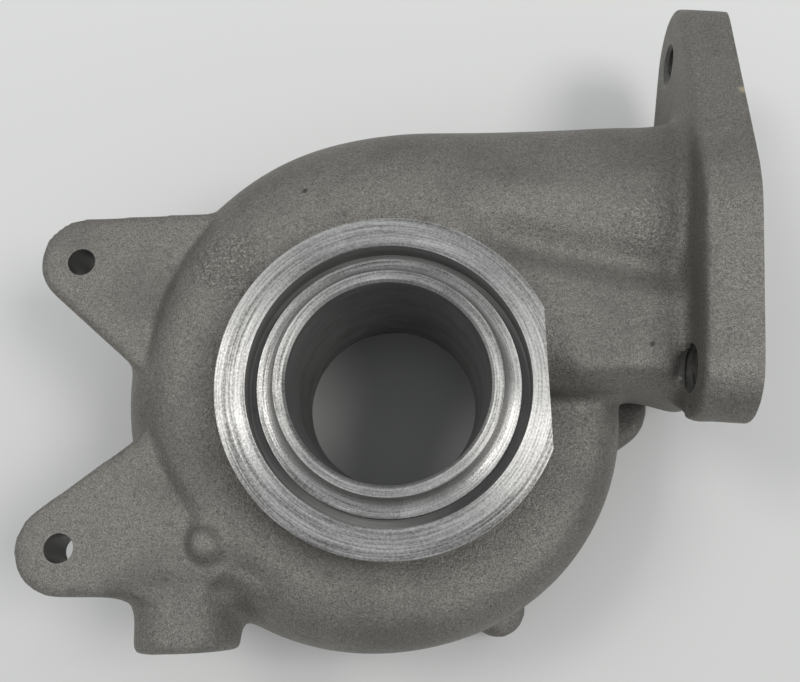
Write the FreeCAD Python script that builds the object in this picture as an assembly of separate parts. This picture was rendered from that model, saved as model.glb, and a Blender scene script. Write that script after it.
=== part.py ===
"""Turbine housing of a small turbocharger, one iron casting, machined where it seats.

Origin: on the turbine axis, in the bearing face that the housing stands on.
+Z runs up the turbine axis to the outlet ring, +X runs out of the inlet flange,
and +Y points at the narrow ear of that flange. Lengths are millimetres, angles
degrees, counted anticlockwise from +X when seen from the outlet.
"""
import FreeCAD, Part
import math
import os

V = FreeCAD.Vector

# Turbine wheel bores, from the outlet down
outlet_bore_r = 23.6
waist_bore_r = 22.5
throat_r = 21.3
inducer_r = 25.4
wheel_entry_r = 29.0
outlet_bore_depth = 16.5
throat_depth = 28.0
throat_length = 3.0
shroud_length = 13.0
nozzle_width = 7.0
nozzle_overlap = 4.0
outlet_chamfer = 0.6
shroud_steps = 8

# Outlet ring and its lip
ring_face = 78.0
ring_r = 40.0
ring_thickness = 8.0
neck_inset = 4.0
groove_outer_r = 32.95
groove_width = 2.35
groove_depth = 6.5
step_drop = 2.75
lip_outer_r = 26.3
lip_height = 1.5
lip_fillet = 3.2
lip_fillet_steps = 5
flat_distance = 36.5
flat_turn = 5.8
flat_height = 14.0

# Bearing side
bearing_r = 60.2
bearing_thickness = 14.0
bearing_edge = 2.0
recess_r = 50.0
recess_depth = 6.0
pilot_r = 37.5
pilot_depth = 18.0
shield_r = 33.0
shield_depth = 22.0
bearing_bolts = 6
bearing_bolt_circle_r = 58.0
bearing_bolt_turn = 3.0
bearing_boss_r = 7.6
bearing_boss_height = 18.0
wide_boss_r = 12.4
wide_boss_place = (59.3, 10.0)
bearing_thread_r = 3.4
bearing_thread_depth = 14.0

# Spiral casing
widest_turn = 90.0
meeting_turn = 360.0
tail_turn = 270.0
tail_outer_r = 60.0
spiral_rise = 16.8
spiral_power = 0.67
spiral_ease = 9.0
casing_inner_r = 28.0
casing_bottom = 11.0
casing_top_start = 69.0
casing_top_end = 50.0
casing_end_turn = 374.0
casing_inner_square = 2.4
casing_outer_square = 2.15
tail_square_gain = 1.0
tail_square_turn = 230.0
tail_square_span = 90.0
core_wall = 8.0
shoulder_low = 8.0
shoulder_high = 4.0
wall = 5.0
passage_inner_r = 29.5
passage_square = 2.15
tongue_turn = 366.0
tongue_gap_outer_r = 43.0
tongue_gap_top = 40.0
tongue_gap_bottom = 23.0

# Inlet duct, from the spiral's widest section to the flange
duct_splay = 0.115
duct_south = 5.0
duct_south_end = 8.0
duct_narrowing_start = 45.0
duct_narrowing_run = 17.0
duct_bend = 40.0
duct_middle_y = 50.0
duct_inner_square = 4.6
duct_top = 63.5
duct_bottom = 22.5
valley_depth = 4.5
valley_y = 43.0
valley_half_width = 7.0
valley_start = 12.0
valley_run = 34.0
flare = 1.0
flare_length = 6.0
port_inner_square = 3.2
port_outer_square = 2.6

# Inlet flange, outlines in the YZ plane
flange_back = 72.0
flange_thickness = 13.5
port_boss_y = 49.0
port_boss_z = 39.5
port_boss_r = 38.0
tip_hole = (108.5, 39.0)
tip_ear_r = 16.0
top_hole = (11.5, 64.0)
top_ear_r = 12.6
low_hole = (30.0, 13.0)
low_ear_r = 11.4
flange_edge = 1.6
flange_thread_r = 4.4
flange_mouth_r = 6.0
spot_depth = 3.0

# Bracket lugs and the round stub beside the lower one
lug_top = 58.0
lug_thickness = 15.0
lug_hole_r = 3.6
lug_edge = 1.2
upper_lug_hole = (-83.5, 30.5)
upper_lug_r = 11.8
upper_lug_nose = (-83.05, 31.3)
upper_lug_root = ((-36.0, 48.7), (-40.0, -15.7))
lower_lug_hole = (-77.4, -42.2)
lower_lug_r = 11.4
lower_lug_root = ((-38.0, 7.5), (-31.0, -38.0), (-42.0, -51.0))
stub_x = -46.0
stub_turn = 6.5
stub_z = 45.0
stub_r = 13.0
stub_end = -64.5
stub_root = -38.0
stub_edge = 1.5
nub_turn = 222.0
nub_distance = 57.2
nub_r = 3.0
nub_top = 61.5
nub_edge = 1.35

# Fineness of the lofts, the turn where the spiral's two lofts meet, how far a cutter
# runs past the face it opens, and the slack for finding an edge
section_points = 20
spiral_step = 22.5
duct_steps = 6
loft_joint_turn = 310.0
over = 1.0
touch = 0.01


def smooth(x):
    """Ease from 0 to 1."""
    t = min(1.0, max(0.0, x))
    return t * t * (3.0 - 2.0 * t)


def blend(start, end, share):
    return start + (end - start) * share


def ring_solid(profile):
    """Solid of revolution about the turbine axis from (radius, height) corners."""
    points = [V(r, 0, z) for r, z in profile]
    face = Part.Face(Part.makePolygon(points + points[:1]))
    return face.revolve(V(0, 0, 0), V(0, 0, 1), 360)


def rod(x, y, z, radius, length, axis):
    return Part.makeCylinder(radius, length, V(x, y, z), axis)


class Section:
    """One closed section of the casing: a box in (r, z) with its corners rounded.

    The outer and the inner half have their own squareness, and a valley may
    run along the top.
    """

    def __init__(self, inner, outer, bottom, top, inner_square, outer_square, valley=0.0, middle=None):
        self.inner = inner
        self.outer = outer
        self.bottom = bottom
        self.top = top
        self.inner_square = inner_square
        self.outer_square = outer_square
        self.valley = valley
        self.middle = 0.5 * (inner + outer) if middle is None else middle

    def shrunk(self, by):
        """The same section, smaller by a wall all round."""
        return Section(self.inner + by, self.outer - by, self.bottom + by, self.top - by,
                       self.inner_square, self.outer_square, self.valley, self.middle)

    def grown(self, by):
        return self.shrunk(-by)

    def point(self, angle):
        c = math.cos(angle)
        s = math.sin(angle)
        outer_half = c > 0
        power = self.outer_square if outer_half else self.inner_square
        half = self.outer - self.middle if outer_half else self.middle - self.inner
        reach = (abs(c) ** power + abs(s) ** power) ** (-1.0 / power)
        r = self.middle + half * c * reach
        rise = 0.5 * (self.top - self.bottom)
        z = 0.5 * (self.top + self.bottom) + rise * s * reach
        dip = math.exp(-((r - valley_y) / valley_half_width) ** 2)
        return r, z - self.valley * dip * max(0.0, s * reach) ** 2

    def wire(self, place):
        """Closed spline through the section, set in space by place(r, z)."""
        shares = [k / section_points for k in range(section_points + 1)]
        angles = [2 * math.pi * share for share in shares[:-1]]
        curve = Part.BSplineCurve()
        curve.interpolate([place(*self.point(a)) for a in angles], PeriodicFlag=True, Parameters=shares)
        return Part.Wire(curve.toShape())


def at_turn(turn):
    """Placer for a section in the half plane at this angle about the turbine axis."""
    c = math.cos(math.radians(turn))
    s = math.sin(math.radians(turn))
    return lambda r, z: V(r * c, r * s, z)


def at_x(x):
    """Placer for a section across the duct."""
    return lambda y, z: V(x, y, z)


def spiral_radius(turn):
    """Outer radius of the casing: a power law in the angle, eased into the round tail."""
    ahead = (tail_turn - turn) / spiral_ease
    eased = spiral_ease * (math.log1p(math.exp(-abs(ahead))) + max(0.0, ahead))
    return tail_outer_r + spiral_rise * (eased / (tail_turn - widest_turn)) ** spiral_power


def spiral_share(turn):
    """1 at the widest section, 0 where the tail meets the duct."""
    return (meeting_turn - turn) / (meeting_turn - widest_turn)


def casing_section(turn):
    top = casing_top_end + (casing_top_start - casing_top_end) * spiral_share(turn)
    square = casing_outer_square + tail_square_gain * smooth((turn - tail_square_turn) / tail_square_span)
    return Section(casing_inner_r, spiral_radius(turn), casing_bottom, top, casing_inner_square, square)


def passage_section(turn):
    share = max(0.0, (tongue_turn - turn) / (tongue_turn - widest_turn))
    skin = casing_section(widest_turn).shrunk(wall)
    return Section(passage_inner_r, blend(tongue_gap_outer_r, skin.outer, share),
                   blend(tongue_gap_bottom, skin.bottom, share), blend(tongue_gap_top, skin.top, share),
                   passage_square, passage_square)


def duct_section(x):
    start = casing_section(widest_turn)
    along = smooth(x / duct_bend)
    narrowing = smooth((x - duct_narrowing_start) / duct_narrowing_run)
    start_middle = 0.5 * (start.inner + start.outer)
    return Section(blend(start.inner, duct_south, along) + (duct_south_end - duct_south) * narrowing,
                   start.outer + duct_splay * x,
                   blend(start.bottom, duct_bottom, along),
                   blend(start.top, duct_top, along),
                   blend(start.inner_square, duct_inner_square, along), start.outer_square,
                   valley_depth * smooth((x - valley_start) / valley_run),
                   blend(start_middle, duct_middle_y, along))


def duct_passage_section(x):
    start = passage_section(widest_turn)
    target = duct_section(x).shrunk(wall)
    along = smooth(x / duct_bend)
    return Section(blend(start.inner, target.inner, along), target.outer,
                   blend(start.bottom, target.bottom, along), blend(start.top, target.top, along),
                   blend(start.inner_square, port_inner_square, along),
                   blend(start.outer_square, port_outer_square, along),
                   target.valley, blend(start.middle, target.middle, along))


def turns(first, last):
    count = max(2, round((last - first) / spiral_step))
    return [first + (last - first) * k / count for k in range(count + 1)]


def duct_stations(end):
    """Places across the duct, from its outer end back to the spiral."""
    return [end * (1.0 - k / duct_steps) for k in range(duct_steps)]


def casing_skin():
    """Outside of the duct and the spiral, as two lofts that share one section."""
    end = flange_back + 0.5 * flange_thickness
    wires = [duct_section(flange_back).grown(flare).wire(at_x(end)),
             duct_section(flange_back).grown(flare).wire(at_x(flange_back))]
    wires += [duct_section(x).wire(at_x(x)) for x in duct_stations(flange_back - flare_length)]
    wires += [casing_section(t).wire(at_turn(t)) for t in turns(widest_turn, loft_joint_turn)]
    tail = [casing_section(t).wire(at_turn(t)) for t in turns(loft_joint_turn, casing_end_turn)]
    return Part.makeLoft(wires, True, False), Part.makeLoft(tail, True, False)


def gas_passage():
    """Hollow of the duct and the spiral, open through the flange face."""
    port = duct_passage_section(flange_back)
    wires = [port.wire(at_x(flange_back + flange_thickness + over)),
             port.wire(at_x(flange_back + 0.5 * flange_thickness)), port.wire(at_x(flange_back))]
    wires += [duct_passage_section(x).wire(at_x(x)) for x in duct_stations(flange_back - flare_length)]
    wires += [passage_section(t).wire(at_turn(t)) for t in turns(widest_turn, loft_joint_turn)]
    tail = [passage_section(t).wire(at_turn(t)) for t in turns(loft_joint_turn, tongue_turn)]
    return Part.makeLoft(wires, True, False), Part.makeLoft(tail, True, False)


def tangent_outline(circles):
    """Closed outline round circles (y, z, r), joined by straight outer tangents."""
    count = len(circles)
    touches = []
    for k in range(count):
        y0, z0, r0 = circles[k]
        y1, z1, r1 = circles[(k + 1) % count]
        along = math.atan2(z1 - z0, y1 - y0)
        lean = math.asin((r0 - r1) / math.hypot(y1 - y0, z1 - z0))
        normal = along - 0.5 * math.pi + lean
        offset = (math.cos(normal), math.sin(normal))
        touches.append(((y0 + r0 * offset[0], z0 + r0 * offset[1]),
                        (y1 + r1 * offset[0], z1 + r1 * offset[1]), normal))
    edges = []
    for k in range(count):
        start, end, normal = touches[k]
        edges.append(Part.makeLine(V(0, *start), V(0, *end)))
        y, z, r = circles[(k + 1) % count]
        after, _, next_normal = touches[(k + 1) % count]
        middle = normal + 0.5 * ((next_normal - normal) % (2 * math.pi))
        through = V(0, y + r * math.cos(middle), z + r * math.sin(middle))
        edges.append(Part.Arc(V(0, *end), through, V(0, *after)).toShape())
    return Part.Wire(Part.__sortEdges__(edges))


def flange_plate():
    """Three-eared inlet flange, thick and flat, with its back edge broken."""
    port_boss = (port_boss_y, port_boss_z, port_boss_r)
    outline = tangent_outline([(*low_hole, low_ear_r), port_boss, (*tip_hole, tip_ear_r),
                               port_boss, (*top_hole, top_ear_r)])
    plate = Part.Face(outline).extrude(V(flange_thickness, 0, 0))
    back = [e for e in plate.Edges if e.BoundBox.XMax < touch]
    plate = plate.makeFillet(flange_edge, back)
    plate.translate(V(flange_back, 0, 0))
    return plate


def flange_threads():
    """Bolt holes of the flange, each with a countersunk mouth on the duct side."""
    cuts = []
    sink = flange_mouth_r - flange_thread_r
    for y, z in (tip_hole, top_hole, low_hole):
        cuts.append(rod(flange_back - over, y, z, flange_thread_r, flange_thickness + 2.0 * over, V(1, 0, 0)))
        cuts.append(rod(flange_back - spot_depth, y, z, flange_mouth_r, spot_depth, V(1, 0, 0)))
        cuts.append(Part.makeCone(flange_mouth_r, flange_thread_r, sink, V(flange_back, y, z), V(1, 0, 0)))
    return cuts


def tangent_point(nose, radius, root, side):
    """Where the straight edge from this root touches the round nose, on one side of it."""
    reach = root - nose
    bearing = math.atan2(reach.y, reach.x) + side * math.acos(radius / reach.Length)
    return nose + V(radius * math.cos(bearing), radius * math.sin(bearing), 0)


def stands_over(edge, other):
    """True for a level edge straight above or below another, or for that one itself."""
    gap = edge.CenterOfMass - other.CenterOfMass
    return edge.BoundBox.ZLength < touch and math.hypot(gap.x, gap.y) < touch


def lug(centre, radius, root):
    """Flat bracket lug: a round nose about a centre, spreading to a root inside the casing."""
    nose = V(*centre, 0)
    heel = [V(*corner, 0) for corner in root]
    north_touch = tangent_point(nose, radius, heel[0], 1.0)
    south_touch = tangent_point(nose, radius, heel[-1], -1.0)
    away = nose - 0.5 * (heel[0] + heel[-1])
    tip = nose + away * (radius / away.Length)
    sides = [Part.makeLine(heel[0], north_touch), Part.Arc(north_touch, tip, south_touch).toShape(),
             Part.makeLine(south_touch, heel[-1])]
    inside = Part.makePolygon(heel[::-1]).Edges
    plate = Part.Face(Part.Wire(sides + inside)).extrude(V(0, 0, lug_thickness))
    rim = [e for e in plate.Edges if any(stands_over(e, side) for side in sides)]
    plate = plate.makeFillet(lug_edge, rim)
    plate.translate(V(0, 0, lug_top - lug_thickness))
    return plate


def stub():
    """Round blank boss that lies nearly along -Y under the lower lug."""
    body = rod(0, 0, 0, stub_r, stub_root - stub_end, V(0, -1, 0))
    end = [e for e in body.Edges if e.BoundBox.YLength < touch and e.BoundBox.YMax < -touch]
    body = body.makeFillet(stub_edge, end)
    body.rotate(V(0, 0, 0), V(0, 0, 1), stub_turn)
    lean = (stub_root - stub_end) * math.sin(math.radians(stub_turn))
    body.translate(V(stub_x - lean, stub_root, stub_z))
    return body


def nub():
    """Small cast dowel pad in the crease between the casing and the lower lug."""
    c = math.cos(math.radians(nub_turn))
    s = math.sin(math.radians(nub_turn))
    x = nub_distance * c
    y = nub_distance * s
    foot = lug_top - lug_thickness + 2.0
    body = rod(x, y, foot, nub_r, nub_top - foot, V(0, 0, 1))
    top = [e for e in body.Edges if e.BoundBox.ZLength < touch and e.BoundBox.ZMax > nub_top - touch]
    return body.makeFillet(nub_edge, top)


def bearing_places():
    step = 360.0 / bearing_bolts
    for k in range(bearing_bolts):
        turn = math.radians(bearing_bolt_turn + k * step)
        yield bearing_bolt_circle_r * math.cos(turn), bearing_bolt_circle_r * math.sin(turn)


def bearing_bosses():
    bosses = [rod(x, y, 0, bearing_boss_r, bearing_boss_height, V(0, 0, 1)) for x, y in bearing_places()]
    bosses.append(rod(*wide_boss_place, 0, wide_boss_r, bearing_boss_height, V(0, 0, 1)))
    return bosses


def bearing_threads():
    return [rod(x, y, -over, bearing_thread_r, bearing_thread_depth + over, V(0, 0, 1))
            for x, y in bearing_places()]


def hub():
    """Body of revolution: bearing flange, core round the wheel, neck and outlet ring."""
    neck_r = ring_r - neck_inset
    ring_under = ring_face - ring_thickness
    core_r = casing_inner_r + core_wall
    return ring_solid([
        (0, 0), (bearing_r - bearing_edge, 0), (bearing_r, bearing_edge),
        (bearing_r, bearing_thickness - bearing_edge), (bearing_r - bearing_edge, bearing_thickness),
        (core_r, bearing_thickness), (core_r, casing_top_end - shoulder_low),
        (neck_r, casing_top_end - shoulder_high),
        (neck_r, ring_under - neck_inset), (ring_r, ring_under), (ring_r, ring_face),
        (lip_outer_r, ring_face), (lip_outer_r, ring_face + lip_height), (0, ring_face + lip_height)])


def ring_flat():
    """Flat milled across the ring, clear of the flange's upper stud."""
    size = 2.0 * ring_r
    block = Part.makeBox(size, size, flat_height + lip_height + over,
                         V(flat_distance, -0.5 * size, ring_face - flat_height))
    block.rotate(V(0, 0, 0), V(0, 0, 1), flat_turn)
    keep = Part.makeCylinder(ring_r + over, flat_height + lip_height + over,
                             V(0, 0, ring_face - flat_height))
    return block.common(keep)


def outlet_face_cut():
    """Groove and stepped seat turned between the ring and the lip."""
    step_r = groove_outer_r - groove_width
    step_z = ring_face - step_drop
    above = ring_face + lip_height + over
    fillet_foot_r = lip_outer_r + lip_fillet
    cove = []
    for k in range(lip_fillet_steps + 1):
        a = 0.5 * math.pi * k / lip_fillet_steps
        cove.append((fillet_foot_r - lip_fillet * math.sin(a),
                     step_z + lip_fillet * (1.0 - math.cos(a))))
    return ring_solid([(groove_outer_r, above), (groove_outer_r, ring_face - groove_depth),
                       (step_r, ring_face - groove_depth), (step_r, step_z)] + cove
                      + [(lip_outer_r, above)])


def wheel_chamber():
    """Everything turned out about the axis: outlet bore, shroud, nozzle and bearing seats."""
    top = ring_face + lip_height
    waist = ring_face - outlet_bore_depth
    throat = ring_face - throat_depth
    shroud_start = throat - throat_length
    nozzle_top = shroud_start - shroud_length
    nozzle_bottom = nozzle_top - nozzle_width
    contour = []
    for k in range(shroud_steps + 1):
        a = 0.5 * math.pi * k / shroud_steps
        contour.append((throat_r + (inducer_r - throat_r) * (1.0 - math.cos(a)),
                        shroud_start - shroud_length * math.sin(a)))
    slot_r = passage_inner_r + nozzle_overlap
    mouth_r = outlet_bore_r + outlet_chamfer
    return ring_solid([(0, -over), (recess_r, -over), (recess_r, recess_depth), (pilot_r, recess_depth),
                       (pilot_r, pilot_depth), (shield_r, pilot_depth), (shield_r, shield_depth),
                       (wheel_entry_r, shield_depth), (wheel_entry_r, nozzle_bottom),
                       (slot_r, nozzle_bottom), (slot_r, nozzle_top)]
                      + contour[::-1]
                      + [(throat_r, throat), (waist_bore_r, waist), (outlet_bore_r, top - outlet_chamfer),
                         (mouth_r, top), (mouth_r, top + over), (0, top + over)])


def build_housing():
    head, tail = casing_skin()
    solids = [tail, hub(), flange_plate(), stub(), nub()]
    solids.append(lug(upper_lug_nose, upper_lug_r, upper_lug_root))
    solids.append(lug(lower_lug_hole, lower_lug_r, lower_lug_root))
    body = head.multiFuse(solids + bearing_bosses())
    hollow_head, hollow_tail = gas_passage()
    cuts = [hollow_head, hollow_tail, wheel_chamber(), outlet_face_cut(), ring_flat()]
    cuts += flange_threads() + bearing_threads()
    for x, y in (upper_lug_hole, lower_lug_hole):
        cuts.append(rod(x, y, lug_top - lug_thickness - over, lug_hole_r, lug_thickness + 2.0 * over,
                        V(0, 0, 1)))
    for cut in cuts:
        body = body.cut(cut)
    return body


def main():
    os.makedirs("parts", exist_ok=True)
    housing = build_housing()
    print("solids", len(housing.Solids), "valid", housing.isValid(), "volume", round(housing.Volume))
    print("box", housing.BoundBox)
    if len(housing.Solids) == 1:
        housing = housing.Solids[0]
    housing.exportStep("parts/turbine_housing.step")


main()
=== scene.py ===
import math
import bmesh
import bpy
import numpy as np
from mathutils import Matrix, Vector


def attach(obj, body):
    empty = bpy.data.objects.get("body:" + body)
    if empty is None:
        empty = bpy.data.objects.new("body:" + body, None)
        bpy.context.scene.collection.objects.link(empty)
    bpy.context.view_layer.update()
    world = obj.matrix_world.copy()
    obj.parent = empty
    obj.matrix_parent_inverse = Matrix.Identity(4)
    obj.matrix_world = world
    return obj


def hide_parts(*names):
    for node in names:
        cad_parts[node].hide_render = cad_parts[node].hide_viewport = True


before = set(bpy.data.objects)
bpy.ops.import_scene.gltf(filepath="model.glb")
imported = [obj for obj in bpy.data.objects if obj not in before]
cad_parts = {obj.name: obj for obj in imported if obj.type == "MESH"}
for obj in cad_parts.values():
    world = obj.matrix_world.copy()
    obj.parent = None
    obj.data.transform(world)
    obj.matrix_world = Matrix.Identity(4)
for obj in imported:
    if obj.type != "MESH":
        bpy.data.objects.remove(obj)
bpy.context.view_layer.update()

MM = 0.001
NODE = "turbine_housing"

# Turned outlet side, radii and heights in millimetres
RING_FACE = 78.0
RING_R = 40.0
RING_UNDER = 70.0
NECK_R = 36.0
GROOVE_R = 32.95
GROOVE_WIDTH = 2.35
GROOVE_DEPTH = 6.5
SEAT_DROP = 2.75
LIP_R = 26.3
LIP_HEIGHT = 1.5
LIP_COVE = 3.2
BORE_R = 23.6
BORE_CHAMFER = 0.6
WAIST = (22.5, 61.5)
THROAT_R = 21.3
THROAT_TOP = 50.0
THROAT_END = 47.0
INDUCER_R = 25.4
NOZZLE_TOP = 34.0
NOZZLE_BOTTOM = 27.0
WHEEL_ENTRY_R = 29.0
FLAT_DISTANCE = 36.5
FLAT_TURN = 5.8
FLAT_FOOT = 64.0
FLAT_HALF = 19.5

# Bearing side
RECESS_R = 50.0
RECESS_DEPTH = 6.0
PILOT_R = 37.5
PILOT_DEPTH = 18.0
SHIELD_R = 33.0
SHIELD_DEPTH = 22.0
BOLT_CIRCLE_R = 58.0
BOLT_COUNT = 6
BOLT_TURN = 3.0
BOLT_R = 4.0
BOLT_DEPTH = 14.0

# Inlet flange
FLANGE_BACK = 72.0
FLANGE_FACE = 85.5
STUD_HOLES = ((108.5, 39.0), (11.5, 64.0), (30.0, 13.0))
STUD_R = 5.0
STUD_MOUTH_R = 6.0
SPOT_DEPTH = 3.0

# Bracket lugs
LUG_HOLES = ((-83.5, 30.5), (-77.4, -42.2))
LUG_R = 3.6
LUG_BOTTOM = 43.0
LUG_TOP = 58.0

# How the casting's skin is made: stock left for the cuts, grain of the remesh, rounds, cutters' overlap
STOCK = 2.0
VOXEL = 1.3
ROUND_STEPS = 1
FILLET_STEPS = 3
WIDE_STEPS = 40
LAST_STEPS = 2
NORMAL_EVERY = 4
OVER = 2.0
LATHE_STEPS = 224
ROD_STEPS = 48
ARC_STEPS = 10
COVE_STEPS = 8
SHARP_ANGLE = 38
THREAD_SHARP_ANGLE = 40
NEAR = 0.06
MOUTH_OVER = 0.3

# Threads of the flange holes (M10 x 1.25) and of the bearing side's holes (M8 x 1.25)
THREAD_PITCH = 1.25
# each (start below the face, length, ridge's reach)
STUD_THREAD = (1.4, 11.6, 0.55)
BOLT_THREAD = (0.8, 11.2, 0.5)

# Small cast features: nub, stub's square end, ledge of the mould's parting at the flange tip
NUB_TURN = 222.6
NUB_DISTANCE = 57.2
NUB_R = 4.3
NUB_TOP = 61.6
STUB_TURN = 6.5
STUB_END = (-46.0, -64.2, 45.0)
STUB_R = 12.7
STUB_LENGTH = 20.0
LEDGE_START = 60.0
LEDGE_Z = 47.0
LEDGE_Y = 119.5
FLASH_NUBS = ((71.6, -0.9, 60.7), (74.6, -1.2, 60.7))
FLASH_R = 1.0
FLASH_LENGTH = 4.0

# Relief of the duct's top: a valley along it, the ridge north of it, the shoulder (y, z) at its south side
RELIEF_Z = 52.0
VALLEY_Y = 45.6
VALLEY_SLOPE = 0.125
VALLEY_DEPTH = 3.4
VALLEY_HALF = 6.5
RIDGE_LIFT = 1.2
RIDGE_REACH = 14.0
SHOULDER = (11.5, 61.5)
SHOULDER_PUSH = 2.8

# Creases where lugs, nub and stub meet the scroll, as (x, y) lines seen from above
CREASE_Z = 54.0
CREASES = (((-50.9, 43.2), (-54.4, 37.6), (-57.8, 31.7), (-60.9, 25.0), (-62.4, 15.3), (-63.0, 7.5)),
           ((-59.7, -11.7), (-58.4, -15.9), (-56.0, -20.4), (-52.2, -26.0), (-48.1, -31.2), (-46.6, -34.0),
            (-47.2, -38.2), (-44.6, -42.6), (-40.0, -43.2), (-33.8, -42.4), (-27.6, -46.0)),
           ((-63.2, -51.8), (-59.4, -50.7), (-54.0, -49.4), (-45.6, -48.3),
            (-38.4, -48.3), (-32.7, -49.3), (-28.0, -53.0)))
CREASE_DEPTH = 1.3
CREASE_WIDTH = 1.7

# (place, reach) of the wide fillets beside the stub
WIDE_FILLETS = (((-60.0, -54.0, 48.0), 11.0), ((-33.0, -59.0, 45.0), 7.0))

# Looks: grain and tool marks (per metre), (place, reach) of rough and chipped spots, centre of the
# milling marks, floor, sky and lamps
CAST_GRAIN = 2900.0
TURNED_FEED = 2600.0
# The rough spots carry bump lumps and painted highlight specks; the duct spot sits on the duct's crest
ROUGH_SPOT = ((-43.5, 31.0, 64.0), 11.0)
DUCT_SPOT = ((60.0, 49.0, 62.0), 9.0)
CHIP = ((85.2, 86.3, 64.6), 1.9)
CUTTER_CENTRE = (0.0855, 0.16, -0.02)
FLOOR_HALF = 3000.0
FLOOR_THICKNESS = 6.0
# Floor colour runs from low in the south to high in the north: a painted light falloff
FLOOR_LOW = (0.60, 0.60, 0.59)
FLOOR_HIGH = (0.78, 0.78, 0.77)
SKY_RIM = 0.18
SKY_TOP = 0.78
SKY_NORTH = 0.2
LAMPS = (
    ("left_window", (-0.97, 0.24, 1.75), (0.0, 0.0, 0.03), (0.6, 0.5), 7.6, (1.0, 0.99, 0.97)),
    ("right_window", (1.02, -0.05, 1.70), (0.0, 0.0, 0.03), (0.7, 0.6), 11.4, (1.0, 0.99, 0.97)),
)

# Camera of the photo
CAMERA_PLACE = (12.363, -45.090, 289.698)
CAMERA_RIGHT = (0.996671, 0.076036, -0.029410)
CAMERA_UP = (-0.066146, 0.965080, 0.253466)
LENS = 42.75
SENSOR = 36.0


def new_piece(name, mesh):
    piece = bpy.data.objects.new(name, mesh)
    bpy.context.scene.collection.objects.link(piece)
    return piece


def applied(piece):
    """Puts the piece's modifiers into its mesh."""
    graph = bpy.context.evaluated_depsgraph_get()
    mesh = bpy.data.meshes.new_from_object(piece.evaluated_get(graph))
    piece.modifiers.clear()
    piece.data = mesh
    return piece


def add_lathe(bm, profile, steps=LATHE_STEPS, place=Matrix()):
    """Closed solid of revolution about Z from (radius, height) corners in millimetres, then placed."""
    rings = []
    for r, z in profile:
        if r == 0:
            rings.append([bm.verts.new(place @ Vector((0, 0, z * MM)))] * steps)
        else:
            rings.append([bm.verts.new(place @ Vector((r * MM * math.cos(2 * math.pi * k / steps),
                                                       r * MM * math.sin(2 * math.pi * k / steps), z * MM)))
                          for k in range(steps)])
    for a, b in zip(rings, rings[1:] + rings[:1]):
        for k in range(steps):
            corners = []
            for v in (a[k], a[(k + 1) % steps], b[(k + 1) % steps], b[k]):
                if v not in corners:
                    corners.append(v)
            if len(corners) > 2:
                bm.faces.new(corners)


def add_rod(bm, start, axis, length, radius):
    """Closed rod from start along axis, in millimetres."""
    direction = Vector(axis).normalized()
    turn = Vector((0, 0, 1)).rotation_difference(direction).to_matrix().to_4x4()
    middle = (Vector(start) + direction * (0.5 * length)) * MM
    bmesh.ops.create_cone(bm, cap_ends=True, segments=ROD_STEPS, radius1=radius * MM,
                          radius2=radius * MM, depth=length * MM,
                          matrix=Matrix.Translation(middle) @ turn)


def add_box(bm, low, high, turn=0.0):
    """Closed box between two corners in millimetres, then turned about Z."""
    middle = [0.5 * (a + b) * MM for a, b in zip(low, high)]
    size = [(b - a) * MM for a, b in zip(low, high)]
    place = Matrix.Rotation(math.radians(turn), 4, "Z") @ Matrix.Translation(middle)
    bmesh.ops.create_cube(bm, size=1.0, matrix=place @ Matrix.Diagonal((*size, 1.0)))


def closed_piece(name, bm):
    bmesh.ops.recalc_face_normals(bm, faces=bm.faces)
    mesh = bpy.data.meshes.new(name)
    bm.to_mesh(mesh)
    bm.free()
    return new_piece(name, mesh)


def shroud_profile():
    """Turned bore from the lip's top down to the nozzle slot."""
    top = RING_FACE + LIP_HEIGHT
    points = [(BORE_R + BORE_CHAMFER, top), (BORE_R, top - BORE_CHAMFER), WAIST,
              (THROAT_R, THROAT_TOP), (THROAT_R, THROAT_END)]
    for k in range(1, ARC_STEPS + 1):
        a = 0.5 * math.pi * k / ARC_STEPS
        points.append((THROAT_R + (INDUCER_R - THROAT_R) * (1.0 - math.cos(a)),
                       THROAT_END - (THROAT_END - NOZZLE_TOP) * math.sin(a)))
    return points


def bearing_profile():
    """Turned seats of the bearing side, from the nozzle slot down to the bearing face."""
    return [(INDUCER_R, NOZZLE_BOTTOM), (WHEEL_ENTRY_R, NOZZLE_BOTTOM), (WHEEL_ENTRY_R, SHIELD_DEPTH),
            (SHIELD_R, SHIELD_DEPTH), (SHIELD_R, PILOT_DEPTH), (PILOT_R, PILOT_DEPTH),
            (PILOT_R, RECESS_DEPTH), (RECESS_R, RECESS_DEPTH), (RECESS_R, -STOCK - OVER)]


def seat_profile():
    """Lip, cove, stepped seat, groove and ring face, from the lip's bore outwards."""
    seat = RING_FACE - SEAT_DROP
    foot = LIP_R + LIP_COVE
    points = [(BORE_R + BORE_CHAMFER, RING_FACE + LIP_HEIGHT), (LIP_R, RING_FACE + LIP_HEIGHT)]
    for k in range(COVE_STEPS + 1):
        a = 0.5 * math.pi * k / COVE_STEPS
        points.append((foot - LIP_COVE * math.cos(a), seat + LIP_COVE * (1.0 - math.sin(a))))
    floor = RING_FACE - GROOVE_DEPTH
    points += [(GROOVE_R - GROOVE_WIDTH, seat), (GROOVE_R - GROOVE_WIDTH, floor),
               (GROOVE_R, floor), (GROOVE_R, RING_FACE), (RING_R + 3 * OVER, RING_FACE)]
    return points


def bolt_places():
    for k in range(BOLT_COUNT):
        a = math.radians(BOLT_TURN + 360.0 * k / BOLT_COUNT)
        yield BOLT_CIRCLE_R * math.cos(a), BOLT_CIRCLE_R * math.sin(a)


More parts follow.
